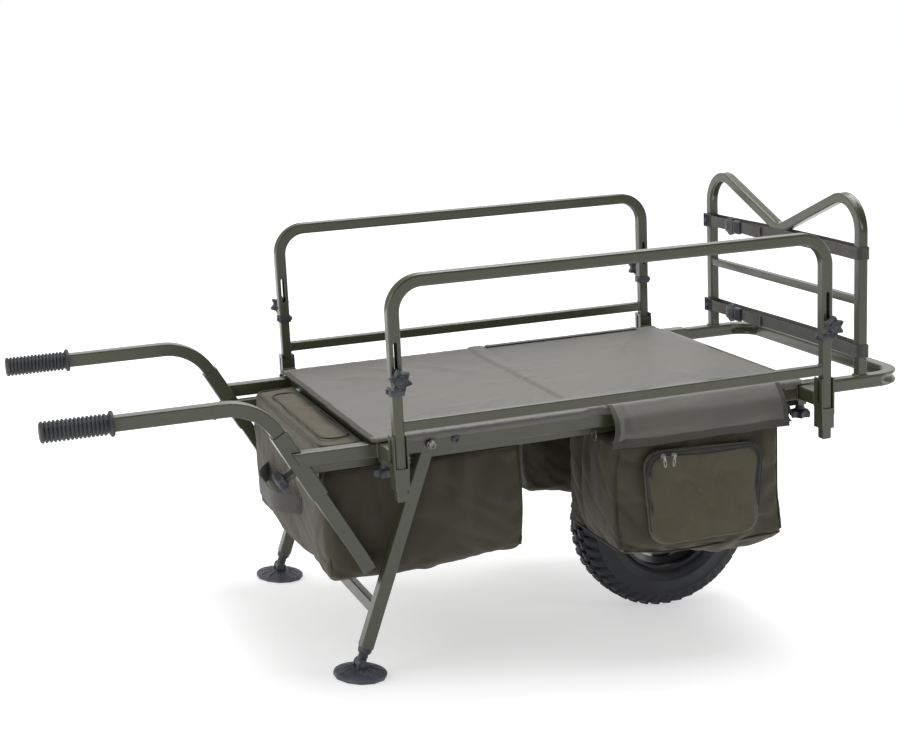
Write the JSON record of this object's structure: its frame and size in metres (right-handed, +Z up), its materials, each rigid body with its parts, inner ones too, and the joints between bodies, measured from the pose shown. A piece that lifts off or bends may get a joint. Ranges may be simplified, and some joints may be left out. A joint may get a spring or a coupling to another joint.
{
  "type": "game cart",
  "caption": "One-wheel field cart: square-tube deck with height-adjustable side rails, headboard, slope-set handles, folding leg frame with mud feet, deck cloth and hung bags.",
  "frame": {"origin": "on the ground, under the middle of the cart's overall length and width", "axes": "+X forward to the wheel and headboard, +Y to the cart's left, +Z up, as it stands on its wheel and feet"},
  "size_m": [1.703, 0.8548, 0.9101],
  "materials": {
    "frame_paint": "satin khaki-olive powder coat on square steel tube",
    "grip_rubber": "matte black ribbed rubber",
    "knob_plastic": "dark blue-grey moulded nylon",
    "stem_plastic": "dark moulded nylon",
    "bag_cloth": "olive-brown woven polyester",
    "tyre_rubber": "black block-tread tyre rubber",
    "rim_paint": "black enamelled pressed rim",
    "bolt_steel": "zinc-plated steel",
    "valve_rubber": "black rubber valve with a plastic cap",
    "webbing": "dark woven webbing",
    "buckle_plastic": "dark moulded acetal",
    "deck_cloth": "grey-olive coated polyester",
    "zip_metal": "nickel-plated zip metal"
  },
  "bodies": {
    "frame": {"axle": "bolt_steel", "axle_nuts": "bolt_steel", "cross_sleeve_front": "frame_paint", "cross_sleeve_rear": "frame_paint", "cross_tubes": "frame_paint", "d_rings": "zip_metal", "deck_cloth": "deck_cloth", "front_loop": "frame_paint", "grab_loop": "webbing", "headboard": "frame_paint", "headboard_straps": "webbing", "leg_bolts": "bolt_steel", "lower_rail_far": "frame_paint", "lower_rail_near": "frame_paint", "main_rail_far": "frame_paint", "main_rail_near": "frame_paint", "pannier_far": "bag_cloth", "pannier_near": "bag_cloth", "rear_bag": "bag_cloth", "rear_rail_far": "frame_paint", "rear_rail_near": "frame_paint", "strap_anchors": "buckle_plastic", "strap_buckles": "buckle_plastic", "wheel_fork_far": "frame_paint", "wheel_fork_near": "frame_paint"},
    "wheel": {"tyre": "tyre_rubber", "rim": "rim_paint", "wheel_bearings": "bolt_steel", "tyre_valve": "valve_rubber"},
    "legs": {"leg_frame": "frame_paint"},
    "handle_near": {"handle_tube_near": "frame_paint", "grip_near": "grip_rubber"},
    "side_near": {"outrigger_rear_near": "frame_paint", "outrigger_front_near": "frame_paint"},
    "rail_near": {"side_frame_near": "frame_paint"},
    "raised_hoop_near": {"hoop_near": "frame_paint", "hoop_collars_near": "knob_plastic"},
    "foot_near": {"foot_stem_near": "stem_plastic"},
    "pad_near": {"foot_pad_near": "knob_plastic"},
    "handle_far": {"handle_tube_far": "frame_paint", "grip_far": "grip_rubber"},
    "side_far": {"outrigger_rear_far": "frame_paint", "outrigger_front_far": "frame_paint"},
    "rail_far": {"side_frame_far": "frame_paint"},
    "raised_hoop_far": {"hoop_far": "frame_paint", "hoop_collars_far": "knob_plastic"},
    "foot_far": {"foot_stem_far": "stem_plastic"},
    "pad_far": {"foot_pad_far": "knob_plastic"},
    "zip_left": {"zip_slider_left": "zip_metal"},
    "zip_right": {"zip_slider_right": "zip_metal"},
    "handle_clamp_near": {"handle_knob_near": "knob_plastic"},
    "hoop_clamp_rear_near": {"hoop_knob_rear_near": "knob_plastic"},
    "width_clamp_rear_near": {"width_knob_rear_near": "knob_plastic"},
    "hoop_clamp_front_near": {"hoop_knob_front_near": "knob_plastic"},
    "width_clamp_front_near": {"width_knob_front_near": "knob_plastic"},
    "handle_clamp_far": {"handle_knob_far": "knob_plastic"},
    "hoop_clamp_rear_far": {"hoop_knob_rear_far": "knob_plastic"},
    "width_clamp_rear_far": {"width_knob_rear_far": "knob_plastic"},
    "hoop_clamp_front_far": {"hoop_knob_front_far": "knob_plastic"},
    "width_clamp_front_far": {"width_knob_front_far": "knob_plastic"}
  },
  "joints": [
    {"name": "wheel_spin", "type": "hinge", "parent": "frame", "child": "wheel", "pos_m": [0.48323, 0, 0.2], "axis": [0, 1, 0], "continuous": true},
    {"name": "leg_fold", "type": "hinge", "parent": "frame", "child": "legs", "pos_m": [-0.16122, 0, 0.43854], "axis": [0, -1, 0], "range_deg": [0, 60]},
    {"name": "handle_pull_near", "type": "slide", "parent": "frame", "child": "handle_near", "axis": [-0.5789, 0, 0.8154], "range_m": [0, 0.16]},
    {"name": "side_widen_near", "type": "slide", "parent": "frame", "child": "side_near", "axis": [0, -1, 0], "range_m": [0, 0.07]},
    {"name": "rail_lift_near", "type": "slide", "parent": "side_near", "child": "rail_near", "axis": [-0.1109, 0, 0.9938], "range_m": [0, 0.038]},
    {"name": "hoop_lower_near", "type": "slide", "parent": "rail_near", "child": "raised_hoop_near", "axis": [0.1109, 0, -0.9938], "range_m": [0, 0.043]},
    {"name": "foot_extend_near", "type": "slide", "parent": "legs", "child": "foot_near", "axis": [-0.2458, 0, -0.9693], "range_m": [0, 0.03]},
    {"name": "pad_tilt_near", "type": "hinge", "parent": "foot_near", "child": "pad_near", "pos_m": [-0.26634, -0.3, 0.024], "axis": [0, 1, 0], "range_deg": [-20, 20]},
    {"name": "handle_pull_far", "type": "slide", "parent": "frame", "child": "handle_far", "axis": [-0.5789, 0, 0.8154], "range_m": [0, 0.16]},
    {"name": "side_widen_far", "type": "slide", "parent": "frame", "child": "side_far", "axis": [0, 1, 0], "range_m": [0, 0.07]},
    {"name": "rail_lift_far", "type": "slide", "parent": "side_far", "child": "rail_far", "axis": [-0.1109, 0, 0.9938], "range_m": [0, 0.038]},
    {"name": "hoop_lower_far", "type": "slide", "parent": "rail_far", "child": "raised_hoop_far", "axis": [0.1109, 0, -0.9938], "range_m": [0, 0.043]},
    {"name": "foot_extend_far", "type": "slide", "parent": "legs", "child": "foot_far", "axis": [-0.2458, 0, -0.9693], "range_m": [0, 0.03]},
    {"name": "pad_tilt_far", "type": "hinge", "parent": "foot_far", "child": "pad_far", "pos_m": [-0.26634, 0.3, 0.024], "axis": [0, 1, 0], "range_deg": [-20, 20]},
    {"name": "zip_run_right", "type": "slide", "parent": "frame", "child": "zip_right", "axis": [0.9938, 0, 0.1109], "range_m": [0, 0.16]},
    {"name": "zip_run_left", "type": "slide", "parent": "frame", "child": "zip_left", "axis": [0.9938, 0, 0.1109], "range_m": [-0.024, 0]},
    {"name": "handle_clamp_turn_near", "type": "hinge", "parent": "frame", "child": "handle_clamp_near", "pos_m": [-0.40739, -0.29, 0.38594], "axis": [-0.8154, 0, -0.5789], "range_deg": [0, 360]},
    {"name": "hoop_clamp_turn_rear_near", "type": "hinge", "parent": "rail_near", "child": "hoop_clamp_rear_near", "pos_m": [-0.26002, -0.409, 0.57542], "axis": [0, -1, 0], "range_deg": [0, 360]},
    {"name": "width_clamp_turn_rear_near", "type": "hinge", "parent": "frame", "child": "width_clamp_rear_near", "pos_m": [-0.24016, -0.3, 0.39753], "axis": [0.1109, 0, -0.9938], "range_deg": [0, 360]},
    {"name": "hoop_clamp_turn_front_near", "type": "hinge", "parent": "rail_near", "child": "hoop_clamp_front_near", "pos_m": [0.59169, -0.409, 0.67051], "axis": [0, -1, 0], "range_deg": [0, 360]},
    {"name": "width_clamp_turn_front_near", "type": "hinge", "parent": "frame", "child": "width_clamp_front_near", "pos_m": [0.61155, -0.3, 0.49261], "axis": [0.1109, 0, -0.9938], "range_deg": [0, 360]},
    {"name": "handle_clamp_turn_far", "type": "hinge", "parent": "frame", "child": "handle_clamp_far", "pos_m": [-0.40739, 0.29, 0.38594], "axis": [-0.8154, 0, -0.5789], "range_deg": [0, 360]},
    {"name": "hoop_clamp_turn_rear_far", "type": "hinge", "parent": "rail_far", "child": "hoop_clamp_rear_far", "pos_m": [-0.26002, 0.409, 0.57542], "axis": [0, 1, 0], "range_deg": [0, 360]},
    {"name": "width_clamp_turn_rear_far", "type": "hinge", "parent": "frame", "child": "width_clamp_rear_far", "pos_m": [-0.24016, 0.3, 0.39753], "axis": [0.1109, 0, -0.9938], "range_deg": [0, 360]},
    {"name": "hoop_clamp_turn_front_far", "type": "hinge", "parent": "rail_far", "child": "hoop_clamp_front_far", "pos_m": [0.59169, 0.409, 0.67051], "axis": [0, 1, 0], "range_deg": [0, 360]},
    {"name": "width_clamp_turn_front_far", "type": "hinge", "parent": "frame", "child": "width_clamp_front_far", "pos_m": [0.61155, 0.3, 0.49261], "axis": [0.1109, 0, -0.9938], "range_deg": [0, 360]}
  ]
}
